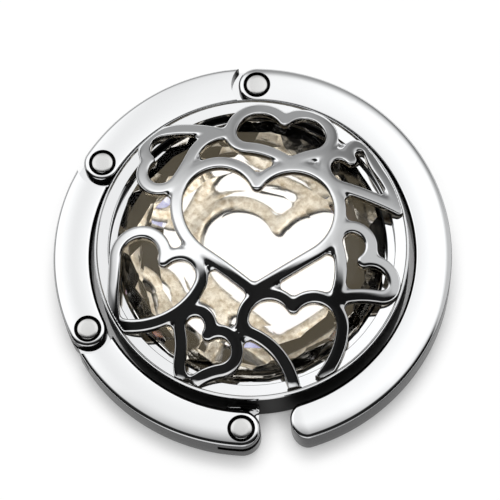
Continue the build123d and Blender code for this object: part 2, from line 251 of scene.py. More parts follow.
class CupSizes(bpy.types.PropertyGroup):
    wall_radius: length("Wall radius", "Outer radius of the cup's wall", 18.85)
    floor_round: length("Lower edge", "Radius of the wall's lower edge", 0.15)
    bore_radius: length("Bore radius", "Radius of the bore that holds the stone", 17.2)
    seat_radius: length("Seat radius", "Inner radius of the ledge that the stone rests on", 16.3)
    seat_height: length("Seat height", "Height of the ledge that the stone rests on", 6.25)
    floor_height: length("Floor height", "Height of the cup's inner floor", 1.75)
    stub_width: length("Stub width", "Width of the neck's stub", 3.9)
    stub_height: length("Stub height", "Height of the neck's stub", 2.7)
    stub_round: length("Stub round", "Radius of the stub's corners", 0.4)
    stub_root: length("Stub root", "How far the stub runs into the wall", 0.8)
    stub_reach: length("Stub reach", "How far the stub stands off the wall", 0.1)
    pin_radius: length("Pin bore", "Radius of the bore for the swivel pin", 1.05)
    magnet_radius: length("Magnet bore", "Radius of the magnet's pocket", 1.17)
    magnet_web: length("Magnet web", "Metal left between the magnet and the wall's face", 0.85)
    bore_depth: length("Bore depth", "Length of the tools that cut both bores", 4.0)
    # Painted shade: how far the cup's side wall is darkened
    wall_shade: FloatProperty(name="Wall shade", description="How dark the unbuffed wall of the cup is",
                              default=1.0, min=0.0, max=1.0)


class LatticeSizes(bpy.types.PropertyGroup):
    reach: length("Reach", "Radius that the heart shares are taken of", 18.5)
    bar_width: length("Bar width", "Width of a lattice bar", 1.5)
    bar_round: length("Bar edge", "Radius of a lattice bar's edges", 0.28)
    bar_thickness: length("Bar thickness", "Thickness of a lattice bar", 1.5)
    dome_top: length("Dome top", "Height of the dome's middle", 12.3)
    dome_edge: length("Dome edge", "Height of the dome at its edge radius", 9.1)
    dome_edge_radius: length("Dome edge radius", "Radius at which the dome's edge height is taken", 17.5)
    fillet: length("Fillet", "Radius of the fillets in the lattice's inner corners", 0.38)
    grain: length("Cast grain", "Grid size that the bars are melted together on", 0.165)
    root_width: length("Root width", "Width of the band in which the bars run down to the lip", 1.0)
    root_drop: length("Root drop", "How far the bars run down there", 0.2)
    rim_height: length("Rim height", "Height of the lip round the cover", 8.1)
    rim_round: length("Rim round", "Radius of the lip's outer edge", 0.6)
    crest_round: length("Crest round", "Radius of the lip's inner edge", 0.14)
    lip_width: length("Lip width", "Width of the lip", 0.35)
    ledge_drop: length("Ledge drop", "Depth of the ledge below the lip", 0.35)
    ledge_inner: length("Ledge inner radius", "Inner radius of the ledge", 17.15)
    ledge_corner: length("Ledge corner", "Bevel where the ledge meets the lip", 0.05)
    ledge_bevel: length("Ledge bevel", "Bevel of the ledge's inner edge", 0.06)


class StoneSizes(bpy.types.PropertyGroup):
    girdle_top: length("Girdle top", "Height of the stone's widest band", 7.65)
    girdle_floor: length("Girdle floor", "Height at which the stone seats", 6.3)
    pavilion_radius: length("Back radius", "Radius of the stone's back at its seat", 15.8)
    foil_gap: length("Foil gap", "Air between the stone and its foil", 0.05)
    foil_thickness: length("Foil thickness", "Thickness of the foil with its lacquer", 0.1)
    facets: IntProperty(name="Facets", description="Facets in the steep row of the stone's back",
                        default=24, min=6)


class FootSizes(bpy.types.PropertyGroup):
    edge: length("Foot edge", "Radius of the foot's lower edge", 0.2)
    groove: length("Groove", "Depth of the grip grooves, and half the width of their floors", 0.12)


class Finishes(bpy.types.PropertyGroup):
    chrome: colour("Chrome", "Bright chrome plate", "EDEEEF")
    # Painted shade: the grey that chrome side walls are darkened to
    painted_wall_shade: colour("Satin wall", "Chrome on side walls, which aren't buffed", "3F3F40")
    # Painted shade: the near-black that rivet pockets and slots are darkened to
    painted_pocket_shade: colour("Bare pocket", "Metal in pockets and slots, which is hardly plated", "1A1918")
    # Painted shade: the dark grey that the lattice bars' side walls are darkened to
    painted_lattice_wall_shade: colour("Lattice wall", "Unbuffed sides of the lattice's bars", "4A4845")
    cast_pits: colour("Cast pits", "Pits in the lattice's rough underside", "C0B096")
    cast_skin: colour("Cast skin", "Skin between those pits", "FFFBF2")
    steel: colour("Rivet steel", "Nickel-plated steel", "D9D9D8")
    stone: colour("Crystal", "Clear cut glass", "FFFEFD")
    foil: colour("Foil", "Silver mirror foil", "FBFAF6")
    rubber: colour("Rubber", "Black non-slip rubber", "1B1B1C")
    magnet: colour("Magnet", "Nickel-plated magnet", "B9B8B4")
    floor: colour("Floor", "Pale studio floor", "F4F4F4")


class StudioSettings(bpy.types.PropertyGroup):
    camera_distance: length("Camera distance", "From the camera to the object", 360.0)
    camera_tilt: angle("Camera tilt", "Lean of the view from straight down", 18.2)
    camera_turn: angle("Camera turn", "Turn of the view about the disc's axis", 6.65)
    floor_reach: length("Floor reach", "Half the floor's width", 3000.0)
    shadow_reach: length("Shadow reach", "Width of the contact shadow round the object", 2.5)
    softbox_width: length("Softbox width", "Width of the overhead softbox", 500.0)
    softbox_depth: length("Softbox depth", "Depth of the overhead softbox", 340.0)
    softbox_distance: length("Softbox distance", "From the softbox to the object", 900.0)
    softbox_lean: angle("Softbox lean", "How far behind the object the softbox hangs", 24.0)
    softbox_power: FloatProperty(name="Softbox power", description="Power of the softbox in watts",
                                 default=7.2, min=0.0)


def linear(value):
    """Linear RGBA of an sRGB hex value."""
    channels = [int(value[place:place + 2], 16) / 255 for place in (0, 2, 4)]
    return [c / 12.92 if c <= 0.04045 else ((c + 0.055) / 1.055) ** 2.4 for c in channels] + [1.0]


def node(tree, kind, inputs=None, stops=(), **settings):
    """Adds a node with its settings. An input is a value, an output socket to link, or a node whose first
    live output is linked. The stops of a ramp are pairs of a place and an sRGB hex value."""
    made = tree.nodes.new(kind)
    for name, value in settings.items():
        setattr(made, name, value)
    for name, value in (inputs or {}).items():
        named = [socket for socket in made.inputs if socket.name == name and socket.enabled]
        socket = named[0] if named else made.inputs[name]
        if isinstance(value, bpy.types.Node):
            value = next(out for out in value.outputs if out.enabled)
        if isinstance(value, bpy.types.NodeSocket):
            tree.links.new(value, socket)
        else:
            socket.default_value = value
    if stops:
        for place, value in stops[1:-1]:
            made.color_ramp.elements.new(place)
        for stop, (place, value) in zip(made.color_ramp.elements, stops):
            stop.position = place
            stop.color = linear(value)
    return made


def chrome_plate(tree, colours):
    """Decorative chrome over polished zinc: a bright blue-white mirror with the long soft ripple that
    hand buffing leaves under the plate, and faint cloudy smudges that only roughen it. The side walls
    are darkened to a satin grey as painted shade, and the rivet pockets and slots to a dull near-black as
    painted shade. Neither brightens at a glancing angle as chrome does."""
    place = node(tree, "ShaderNodeTexCoord").outputs["Object"]
    ripple = node(tree, "ShaderNodeTexNoise", {"Vector": place, "Scale": 1 / (5.0 * MM), "Detail": 1.0})
    haze = node(tree, "ShaderNodeTexNoise", {"Vector": place, "Scale": 1 / (2.5 * MM), "Detail": 4.0})
    smudge = node(tree, "ShaderNodeMapRange", {
        "Value": haze, "From Min": 0.35, "From Max": 0.75, "To Min": 0.025, "To Max": 0.07})
    bump = node(tree, "ShaderNodeBump", {"Height": ripple, "Strength": 0.12, "Distance": 0.05 * MM})
    shade = node(tree, "ShaderNodeAttribute", attribute_name="shade").outputs["Fac"]
    # Painted shade from the shade attribute: grey on side walls, near-black in pockets and slots
    tone = node(tree, "ShaderNodeValToRGB", {"Fac": shade}, stops=(
        (0.0, colours.chrome), (WALL_SHADE, colours.painted_wall_shade), (1.0, colours.painted_pocket_shade)))
    satin = node(tree, "ShaderNodeMapRange", {
        "Value": shade, "From Min": 0.3, "From Max": 1.0, "To Min": 0.0, "To Max": 0.5})
    dull = node(tree, "ShaderNodeMath", {0: smudge, 1: satin}, operation="MAXIMUM")
    # The painted shade also dims the glancing reflection of walls and pockets
    glancing = node(tree, "ShaderNodeMapRange", {
        "Value": shade, "From Min": 0.3, "From Max": WALL_SHADE, "To Min": 1.0, "To Max": 0.75})
    return node(tree, "ShaderNodeBsdfPrincipled", {
        "Base Color": tone, "Metallic": 1.0, "Specular Tint": glancing, "Roughness": dull, "Normal": bump})


def cast_lattice(tree, colours):
    """Cast lattice under bright chrome: buffed to a mirror on top, darkened on its side walls as painted
    shade, and left tan, rough and pitted on the underside that the stone reflects."""
    place = node(tree, "ShaderNodeTexCoord").outputs["Object"]
    facing = node(tree, "ShaderNodeAttribute", attribute_name="facing").outputs["Fac"]
    underside = node(tree, "ShaderNodeAttribute", attribute_name="underside").outputs["Fac"]
    ripple = node(tree, "ShaderNodeTexNoise", {"Vector": place, "Scale": 1 / (4.0 * MM), "Detail": 1.0})
    pits = node(tree, "ShaderNodeTexNoise", {
        "Vector": place, "Scale": 1 / (0.7 * MM), "Detail": 5.0, "Roughness": 0.7})
    mottle = node(tree, "ShaderNodeValToRGB", {"Fac": pits}, stops=(
        (0.35, colours.cast_pits), (0.6, colours.cast_skin)))
    # Painted shade: side walls darken as their normals turn away from up
    wall = node(tree, "ShaderNodeMapRange", {
        "Value": facing, "From Min": 0.25, "From Max": 0.75, "To Min": 1.0, "To Max": 0.0},
        interpolation_type="SMOOTHSTEP")
    outside = node(tree, "ShaderNodeMix", {
        "Factor": wall, "A": linear(colours.chrome), "B": linear(colours.painted_lattice_wall_shade)}, data_type="RGBA")
    tone = node(tree, "ShaderNodeMix", {"Factor": underside, "A": outside, "B": mottle}, data_type="RGBA")
    rough = node(tree, "ShaderNodeMapRange", {"Value": underside, "To Min": 0.06, "To Max": 0.4})
    bump = node(tree, "ShaderNodeBump", {"Height": ripple, "Strength": 0.12, "Distance": 0.05 * MM})
    return node(tree, "ShaderNodeBsdfPrincipled", {
        "Base Color": tone, "Metallic": 1.0, "Roughness": rough, "Normal": bump})


def rivet_steel(tree, colours):
    """Nickel-plated steel rivet: a little warmer and softer than the chrome, with a fine peened grain."""
    place = node(tree, "ShaderNodeTexCoord").outputs["Object"]
    grain = node(tree, "ShaderNodeTexNoise", {"Vector": place, "Scale": 1 / (0.25 * MM), "Detail": 3.0})
    rough = node(tree, "ShaderNodeMapRange", {"Value": grain, "To Min": 0.1, "To Max": 0.2})
    bump = node(tree, "ShaderNodeBump", {"Height": grain, "Strength": 0.1, "Distance": 0.01 * MM})
    return node(tree, "ShaderNodeBsdfPrincipled", {
        "Base Color": linear(colours.steel), "Metallic": 1.0, "Roughness": rough, "Normal": bump})


def cut_glass(tree, colours):
    """Machine-cut lead-free crystal: clear glass with dead flat polished facets and crisp edges."""
    return node(tree, "ShaderNodeBsdfPrincipled", {
        "Base Color": linear(colours.stone), "Roughness": 0.0, "IOR": STONE_INDEX,
        "Transmission Weight": 1.0})


def mirror_foil(tree, colours):
    """Vacuum-silvered foil behind the stone: a warm mirror, faintly crinkled where it was pressed on."""
    place = node(tree, "ShaderNodeTexCoord").outputs["Object"]
    crinkle = node(tree, "ShaderNodeTexVoronoi", {"Vector": place, "Scale": 1 / (1.6 * MM)},
                   feature="SMOOTH_F1")
    level = node(tree, "ShaderNodeNewGeometry").outputs["Normal"]
    askew = node(tree, "ShaderNodeVectorMath", {0: level, 1: FOIL_TILT}, operation="ADD")
    unit = node(tree, "ShaderNodeVectorMath", {0: askew}, operation="NORMALIZE")
    bump = node(tree, "ShaderNodeBump", {
        "Height": crinkle, "Strength": 0.1, "Distance": 0.05 * MM, "Normal": unit})
    return node(tree, "ShaderNodeBsdfPrincipled", {
        "Base Color": linear(colours.foil), "Metallic": 1.0, "Roughness": 0.06, "Normal": bump})


def foot_rubber(tree, colours):
    """Moulded nitrile rubber: matt black with a fine sanded grain that grips the table."""
    place = node(tree, "ShaderNodeTexCoord").outputs["Object"]
    grain = node(tree, "ShaderNodeTexNoise", {"Vector": place, "Scale": 1 / (0.3 * MM), "Detail": 5.0})
    bump = node(tree, "ShaderNodeBump", {"Height": grain, "Strength": 0.5, "Distance": 0.05 * MM})
    return node(tree, "ShaderNodeBsdfPrincipled", {
        "Base Color": linear(colours.rubber), "Roughness": 0.75, "IOR": 1.52, "Normal": bump})


def magnet_nickel(tree, colours):
    """Nickel-plated neodymium: grey, satin, with the small pits of a tumbled plate."""
    place = node(tree, "ShaderNodeTexCoord").outputs["Object"]
    pits = node(tree, "ShaderNodeTexNoise", {"Vector": place, "Scale": 1 / (0.15 * MM), "Detail": 2.0})
    rough = node(tree, "ShaderNodeMapRange", {"Value": pits, "To Min": 0.22, "To Max": 0.4})
    return node(tree, "ShaderNodeBsdfPrincipled", {
        "Base Color": linear(colours.magnet), "Metallic": 1.0, "Roughness": rough})


def pale_laminate(tree, colours):
    """Pale matt laminate, which shows plain white but for the contact shadow round what stands on it."""
    path = node(tree, "ShaderNodeLightPath").outputs
    shown = path["Is Camera Ray"]
    for ray in ("Is Transmission Ray", "Is Glossy Ray"):
        shown = node(tree, "ShaderNodeMath", {0: shown, 1: path[ray]}, operation="MAXIMUM")
    reach = bpy.context.scene.hook_studio.shadow_reach
    open_sky = node(tree, "ShaderNodeAmbientOcclusion", {"Distance": reach}, samples=8).outputs["AO"]
    lit = node(tree, "ShaderNodeMath", {0: open_sky, 1: SHADOW_POWER}, operation="POWER")
    glowing = node(tree, "ShaderNodeMath", {0: shown, 1: FLOOR_SHARE}, operation="MULTIPLY")
    share = node(tree, "ShaderNodeMath", {0: glowing, 1: lit}, operation="MULTIPLY")
    matt = node(tree, "ShaderNodeBsdfDiffuse", {"Color": linear(colours.floor)})
    glow = node(tree, "ShaderNodeEmission", {"Color": WHITE, "Strength": FLOOR_LIGHT})
    return node(tree, "ShaderNodeMixShader", {0: share, 1: matt, 2: glow})


MATERIAL_MAKERS = {
    "chrome_plate": chrome_plate, "cast_lattice": cast_lattice, "rivet_steel": rivet_steel,
    "clear_crystal": cut_glass, "mirror_foil": mirror_foil, "black_rubber": foot_rubber,
    "nickel_magnet": magnet_nickel, "studio_floor": pale_laminate,
}


def finish(slot):
    """The material of a record slot, the lattice or the floor, made once."""
    scene = bpy.context.scene
    key = "hook_" + slot
    if key not in scene:
        maker = MATERIAL_MAKERS[slot]
        material = bpy.data.materials.new(maker.__name__)
        material.use_nodes = True
        tree = material.node_tree
        tree.nodes.clear()
        node(tree, "ShaderNodeOutputMaterial", {"Surface": maker(tree, scene.hook_finish)})
        scene[key] = material.name
    return bpy.data.materials[scene[key]]


def put(name, data):
    """A new object in the scene."""
    made = bpy.data.objects.new(name, data)
    bpy.context.scene.collection.objects.link(made)
    return made


def mesh_of(bm, name):
    """The mesh of a bmesh, which it uses up."""
    mesh = bpy.data.meshes.new(name)
    bm.to_mesh(mesh)
    bm.free()
    return mesh


def add_mesh(bm, mesh):
    """Adds a mesh to a bmesh, and uses it up."""
    bm.from_mesh(mesh)
    bpy.data.meshes.remove(mesh)


def bake(piece):
    """A new mesh of an object with its modifiers."""
    graph = bpy.context.evaluated_depsgraph_get()
    return bpy.data.meshes.new_from_object(piece.evaluated_get(graph))


def keep(name, bm, slot, body, replaced=(), sharp=30.0):
    """Makes a finished piece of a bmesh, with its doubles merged and its faces outwards."""
    bmesh.ops.remove_doubles(bm, verts=bm.verts, dist=MERGE)
    bmesh.ops.recalc_face_normals(bm, faces=bm.faces)
    keep_mesh(name, mesh_of(bm, name), slot, body, replaced, sharp)


def keep_mesh(name, mesh, slot, body, replaced=(), sharp=30.0, finish_name=None):
    """Makes a finished piece of a mesh: smooth but for its sharp edges, and riding on its body."""
    if not mesh.polygons:
        raise RuntimeError("%s has no faces" % name)
    mesh.name = name
    mesh.materials.clear()
    mesh.materials.append(finish(finish_name or slot))
    mesh.shade_smooth()
    if sharp:
        mesh.set_sharp_from_angle(angle=math.radians(sharp))
    piece = put(name, mesh)
    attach(piece, body)
    if replaced:
        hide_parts(*replaced)


def combine(bm, steps):
    """Joins to or cuts from a closed bmesh each (operation, bmesh) in turn, and gives the mesh."""
    solids = []
    for shape in [bm] + [other for operation, other in steps]:
        bmesh.ops.recalc_face_normals(shape, faces=shape.faces)
        solids.append(put("solid", mesh_of(shape, "solid")))
    for (operation, other), tool in zip(steps, solids[1:]):
        cut = solids[0].modifiers.new(operation, "BOOLEAN")
        cut.operation = operation
        cut.object = tool
        cut.solver = "EXACT"
    result = bake(solids[0])
    for solid in solids:
        bpy.data.objects.remove(solid)
    return result


def spin_outline(points, turn, steps, start=0.0, closed=True, use_merge=False):
    """Spins an (r, z) outline about the Z axis from a start angle, and gives the bmesh and its far end."""
    bm = bmesh.new()
    verts = [bm.verts.new((r * math.cos(start), r * math.sin(start), z)) for r, z in points]
    ends = verts[1:] + verts[:1] if closed else verts[1:]
    edges = [bm.edges.new(pair) for pair in zip(verts, ends)]
    spun = bmesh.ops.spin(bm, geom=verts + edges, cent=(0, 0, 0), axis=(0, 0, 1), angle=turn, steps=steps,
                          use_merge=use_merge)
    return bm, spun["geom_last"]


def revolve(points, steps, turn=Matrix.Identity(4), closed=True):
    """A bmesh of an (r, z) outline turned once about the Z axis of a placing matrix."""
    bm, last = spin_outline(points, math.tau, steps, closed=closed, use_merge=True)
    bmesh.ops.remove_doubles(bm, verts=bm.verts, dist=MERGE)
    bmesh.ops.transform(bm, matrix=turn, verts=bm.verts)
    bmesh.ops.recalc_face_normals(bm, faces=bm.faces)
    return bm


def edge_arc(centre, radius, start, end, steps=EDGE_STEPS):
    """Points of a rounded edge in a section, from one angle to another in degrees."""
    points = []
    for step in range(steps + 1):
        place = math.radians(start + (end - start) * step / steps)
        points.append((centre[0] + radius * math.cos(place), centre[1] + radius * math.sin(place)))
    return points


def soft_step(value, start, end):
    """How far a value has come from a start to an end, from 0 to 1, eased at both."""
    share = min(max((value - start) / (end - start), 0.0), 1.0)
    return share * share * (3 - 2 * share)


def wall_share(face):
    """How far a face is a side wall: 1 for a wall, and 0 for a top."""
    return soft_step(abs(face.normal.z), TOP_RISE, WALL_RISE)


def polar(point):
    """Polar angle of a point about the disc's axis."""
    return math.atan2(point.y, point.x)


def placing(x_axis, y_axis, z_axis, origin):
    """Placing matrix with its own axes and origin."""
    matrix = Matrix((x_axis, y_axis, z_axis)).transposed().to_4x4()
    matrix.translation = origin
    return matrix


def hinge_matrix(hinge):
    """Placing matrix on a hinge: X along the fork's link, clockwise round the ring, and Y outwards."""
    place = HINGES[hinge]
    out = Vector((place.x, place.y, 0)).normalized()
    return placing((out.y, -out.x, 0), out, (0, 0, 1), (place.x, place.y, 0))


def outward_matrix(point, radius):
    """Placing matrix at a point's polar angle and the hinges' height: Z outwards, and Y upwards."""
    out = Vector((point.x, point.y, 0)).normalized()
    return placing((-out.y, out.x, 0), (0, 0, 1), out, out * radius + Vector((0, 0, HINGE_HEIGHT)))


def cylinder(radius, floor, top, matrix=Matrix.Identity(4)):
    """Closed cylinder along the Z axis of a placing matrix."""
    bm = bmesh.new()
    bmesh.ops.create_cone(bm, cap_ends=True, segments=BORE_STEPS, radius1=radius, radius2=radius,
                          depth=top - floor)
    bmesh.ops.translate(bm, verts=bm.verts, vec=(0, 0, (top + floor) / 2))
    bmesh.ops.transform(bm, matrix=matrix, verts=bm.verts)
    return bm


def block(low, high, matrix=Matrix.Identity(4)):
    """Closed box between two corners of a placing matrix's frame."""
    bm = bmesh.new()
    bmesh.ops.create_cube(bm, size=1.0)
    bmesh.ops.scale(bm, verts=bm.verts, vec=Vector(high) - Vector(low))
    bmesh.ops.translate(bm, verts=bm.verts, vec=(Vector(low) + Vector(high)) / 2)
    bmesh.ops.transform(bm, matrix=matrix, verts=bm.verts)
    return bm


def bar_section(ring):
    """Outline of the ring's bar as (offset from the middle, height), in halves of equal count: over the
    top from the outer wall to the inner wall, and under the floor the same way."""
    high = ring.width / 2 - ring.top_round
    low = ring.width / 2 - ring.floor_round
    crown_radius = (high ** 2 + ring.crown ** 2) / (2 * ring.crown)
    offsets = [high * (1 - 2 * step / CROWN_STEPS) for step in range(1, CROWN_STEPS)]
    crown = [(offset, RING_TOP - (crown_radius - math.sqrt(crown_radius ** 2 - offset ** 2)))
             for offset in offsets]
    edge = RING_TOP - ring.crown - ring.top_round
    over = edge_arc((high, edge), ring.top_round, 0, 90) + crown
    over += edge_arc((-high, edge), ring.top_round, 90, 180)
    edge = RING_FLOOR + ring.floor_round
    under = edge_arc((low, edge), ring.floor_round, 0, -90)
    under += [(offset * low / high, RING_FLOOR) for offset in offsets]
    under += edge_arc((-low, edge), ring.floor_round, -90, -180)
    return over, under


def hollow_end(bm, last, hinge, hollow):
    """Hollows a bar's far end round its hinge's polar angle, and closes it from its top to its floor."""
    for vert in (item for item in last if isinstance(item, bmesh.types.BMVert)):
        radius = vert.co.xy.length
        side = radius ** 2 + RING_MIDDLE_RADIUS ** 2 - hollow ** 2
        place = hinge + math.acos(side / (2 * radius * RING_MIDDLE_RADIUS))
        vert.co.x = radius * math.cos(place)
        vert.co.y = radius * math.sin(place)
    middle = (RING_TOP + RING_FLOOR) / 2
    rims = [item for item in last if isinstance(item, bmesh.types.BMEdge)
            and (item.verts[0].co.z > middle) == (item.verts[1].co.z > middle)]
    bmesh.ops.bridge_loops(bm, edges=rims)


def round_end(over, under, place, sign, depth_share=1.0):
    """Half-round end of a bar, turned about a point of its middle line. The sign is +1 for an end that
    points to larger polar angles."""
    half = [point for point in over[::-1] + under if point[0] >= 0]
    bm, last = spin_outline(half, sign * math.pi, END_STEPS, closed=False)
    bmesh.ops.remove_doubles(bm, verts=bm.verts, dist=MERGE)
    bmesh.ops.scale(bm, verts=bm.verts, vec=(1, depth_share, 1))
    matrix = Matrix.Rotation(place, 4, "Z") @ Matrix.Translation((RING_MIDDLE_RADIUS, 0, 0))
    bmesh.ops.transform(bm, matrix=matrix, verts=bm.verts)
    return mesh_of(bm, "round_end")


def link_body(ring, fork, far):
    """A link's bar: round at its fork, and hollowed at its far hinge or rounded off at the arm's tip."""
    over, under = bar_section(ring)
    section = [(RING_MIDDLE_RADIUS + offset, height) for offset, height in over + under[::-1]]
    half = ring.width / 2
    start = polar(HINGES[fork]) % math.tau
    if far:
        hinge = polar(HINGES[far]) % math.tau
        bm, last = spin_outline(section, hinge + HOLLOW_ANGLE - start, LINK_STEPS, start)
        hollow_end(bm, last, hinge, half + ring.end_gap)
    else:
        end = ring.tip_angle + ring.tip_depth / RING_MIDDLE_RADIUS
        bm, last = spin_outline(section, end - start, ARM_STEPS, start)
        add_mesh(bm, round_end(over, under, end, -1, ring.tip_depth / half))
    add_mesh(bm, round_end(over, under, start, 1))
    if not far:
        soften_shoulder(bm, ring)
    bmesh.ops.remove_doubles(bm, verts=bm.verts, dist=BAR_MERGE)
    bmesh.ops.recalc_face_normals(bm, faces=bm.faces)
    return bm


def soften_shoulder(bm, ring):
    """Polishes the arm's outer shoulder down, as a wheel does, fading out towards the free end."""
    inner = RING_MIDDLE_RADIUS + ring.width / 2 - ring.shoulder_width
    for vert in bm.verts:
        share = (vert.co.xy.length - inner) / ring.shoulder_width
        if share > 0 and vert.co.z > HINGE_HEIGHT:
            fade = soft_step(polar(vert.co), SHOULDER_END, 0.0)
            vert.co.z -= ring.shoulder_drop * min(share, 1.0) ** 2 * fade


def tongue(ring, hinge, has_heel):
    """A link's tongue: a flat plate with a round end, a bore and, on most, a square heel."""
    half = ring.tongue_width / 2
    high = HINGE_HEIGHT + ring.tongue_thickness / 2
    low = HINGE_HEIGHT - ring.tongue_thickness / 2
    matrix = hinge_matrix(hinge)
    reach = ring.width / 2 + 2 * ring.end_gap
    steps = [("UNION", cylinder(half, low, high, matrix))]
    if has_heel:
        steps.append(("UNION", block((0, 0, low), (half, half, high), matrix)))
    steps.append(("DIFFERENCE", cylinder(ring.bore_radius, low - MM, high + MM, matrix)))
    plate = bmesh.new()
    add_mesh(plate, combine(block((-reach, -half, low), (0, half, high), matrix), steps))
    return plate


def shade_link(mesh, ring, fork):
    """Marks the painted shade on a link: full in its pocket and slot, partial on its side walls."""
    shade = mesh.attributes.new("shade", "FLOAT", "FACE")
    for face, value in zip(mesh.polygons, shade.data):
        off = (face.center.xy - HINGES[fork].xy).length
        depth = RING_TOP - face.center.z
        # Painted shade: full in the rivet pocket and the slot, partial on side walls
        in_pocket = (off < ring.pocket_radius + EDGE_ROOM
                     and EDGE_ROOM < depth < ring.head_height + EDGE_ROOM)
        in_slot = (off < ring.slot_depth + MM and abs(face.normal.z) > TOP_RISE
                   and abs(face.center.z - HINGE_HEIGHT) < ring.slot_height / 2 + EDGE_ROOM)
        value.value = 1.0 if in_pocket or in_slot else WALL_SHADE * wall_share(face)


class HOOK_OT_links(bpy.types.Operator):
    """Builds the smooth chrome links and the hook arm, with forks, tongues and rivet pockets"""
    bl_idname = "purse_hook.links"
    bl_label = "Links and Arm"

    def execute(self, context):
        ring = context.scene.hook_ring
        half = ring.width / 2
        slot_low = HINGE_HEIGHT - ring.slot_height / 2
        slot_high = HINGE_HEIGHT + ring.slot_height / 2
        for name, body, fork, far, has_heel in LINKS:
            matrix = hinge_matrix(fork)
            slot = block((-2 * half, -2 * half, slot_low), (ring.slot_depth, 2 * half, slot_high), matrix)
            pocket = cylinder(ring.pocket_radius, RING_TOP - ring.head_height, RING_TOP + MM, matrix)
            bore = cylinder(ring.shank_radius, RING_FLOOR - MM, RING_TOP, matrix)
            steps = [("DIFFERENCE", tool) for tool in (slot, pocket, bore)]
            if far:
                steps.append(("UNION", tongue(ring, far, has_heel)))
            else:
                middle = sum(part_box("arm_magnet"), Vector()) / 2
                inner_wall = outward_matrix(middle, RING_MIDDLE_RADIUS - half)
                magnet = cylinder(ring.magnet_radius, -MM, ring.magnet_depth, inner_wall)
                steps.append(("DIFFERENCE", magnet))
            mesh = combine(link_body(ring, fork, far), steps)
            shade_link(mesh, ring, fork)
            keep_mesh(name + "_bar", mesh, "chrome_plate", body, (name,))
        return {"FINISHED"}


class HOOK_OT_rivets(bpy.types.Operator):
    """Builds the rivets, with flat round heads that lie in their pockets"""
    bl_idname = "purse_hook.rivets"
    bl_label = "Rivets"

    def execute(self, context):
        ring = context.scene.hook_ring
        foot, top = (corner.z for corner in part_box("rivet_1"))
        seat = top - ring.head_height * HEAD_SHARE
        shank, head = ring.shank_radius, ring.head_radius
        outline = [(0, foot)] + edge_arc((shank - RIVET_EDGE, foot + RIVET_EDGE), RIVET_EDGE, -90, 0)
        outline += [(shank, seat), (head, seat)]
        outline += edge_arc((head - RIVET_EDGE, top - RIVET_EDGE - HEAD_CROWN), RIVET_EDGE, 0, 85)
        outline += [(0.6 * head, top - HEAD_CROWN / 3), (0, top)]
        for number, (link, body, hinge, far, has_heel) in enumerate(LINKS, 1):
            rivet = "rivet_%d" % number
            pin = revolve(outline, BORE_STEPS, hinge_matrix(hinge), closed=False)
            keep(rivet + "_pin", pin, "rivet_steel", body, (rivet,))
        return {"FINISHED"}


def arc(start, through, end):
    """Points of the circular arc through three points, and its direction at the end."""
    a, b, c = start, through, end
    d = 2 * (a.x * (b.y - c.y) + b.x * (c.y - a.y) + c.x * (a.y - b.y))
    squares = (a.length_squared, b.length_squared, c.length_squared)
    centre = Vector((
        (squares[0] * (b.y - c.y) + squares[1] * (c.y - a.y) + squares[2] * (a.y - b.y)) / d,
        (squares[0] * (c.x - b.x) + squares[1] * (a.x - c.x) + squares[2] * (b.x - a.x)) / d))
    first = polar(a - centre)
    middle = (polar(b - centre) - first) % math.tau
    last = (polar(c - centre) - first) % math.tau
    turn = last if middle < last else last - math.tau
    radius = (a - centre).length
    count = max(4, int(abs(turn) * radius / LINE_GAP))
    points = []
    for step in range(count + 1):
        place = first + turn * step / count
        points.append(centre + radius * Vector((math.cos(place), math.sin(place))))
    heading = math.copysign(1, turn) * Vector((-math.sin(first + turn), math.cos(first + turn)))
    return points, heading


def tangent_arc(start, heading, end):
    """Points of the arc that leaves a point in a direction and ends at another, and its last direction."""
    chord = end - start
    side = Vector((-heading.y, heading.x))
    across = chord.dot(side)
    if abs(across) < STRAIGHT_BEND * chord.length:
        count = max(2, int(chord.length / LINE_GAP))
        return [start + chord * step / count for step in range(count + 1)], heading
    radius = chord.length_squared / (2 * across)
    centre = start + side * radius
    half = math.atan2(across, chord.dot(heading))
    count = max(3, int(abs(2 * half * radius) / LINE_GAP))
    points = []
    for step in range(count + 1):
        turn = Matrix.Rotation(2 * half * step / count, 2)
        points.append(centre + turn @ (start - centre))
    return points, Matrix.Rotation(2 * half, 2) @ heading


def half_heart(notch, tip, side, reach):
    """Middle line of one side of a heart, from its notch over the lobe and down to the tip."""
    lobe_top, lobe_side, flank = (Vector(point) * reach for point in side)
    line, heading = arc(Vector(notch) * reach, lobe_top, lobe_side)
    for target in (flank, Vector(tip) * reach):
        more, heading = tangent_arc(line[-1], heading, target)
        line += more[1:]
    return line


def heart_lines(sizes):
    """Middle lines of all the lattice's bars, cut off where they leave the dome."""
    limit = sizes.reach + sizes.fillet
    lines = [[]]
    for notch, tip, sides in HEART_SHARES:
        for side in sides:
            for point in half_heart(notch, tip, side, sizes.reach):
                if point.length < limit:
                    lines[-1].append(point)
                elif lines[-1]:
                    lines.append([])
            lines.append([])
    return [line for line in lines if len(line) > 1]


def add_spline(curve, points, closed=False):
    """Adds a spline of straight runs through (x, y) points to a curve."""
    spline = curve.splines.new("POLY")
    spline.points.add(len(points) - 1)
    for (x, y), point in zip(points, spline.points):
        point.co = (x, y, 0, 1)
    spline.use_cyclic_u = closed


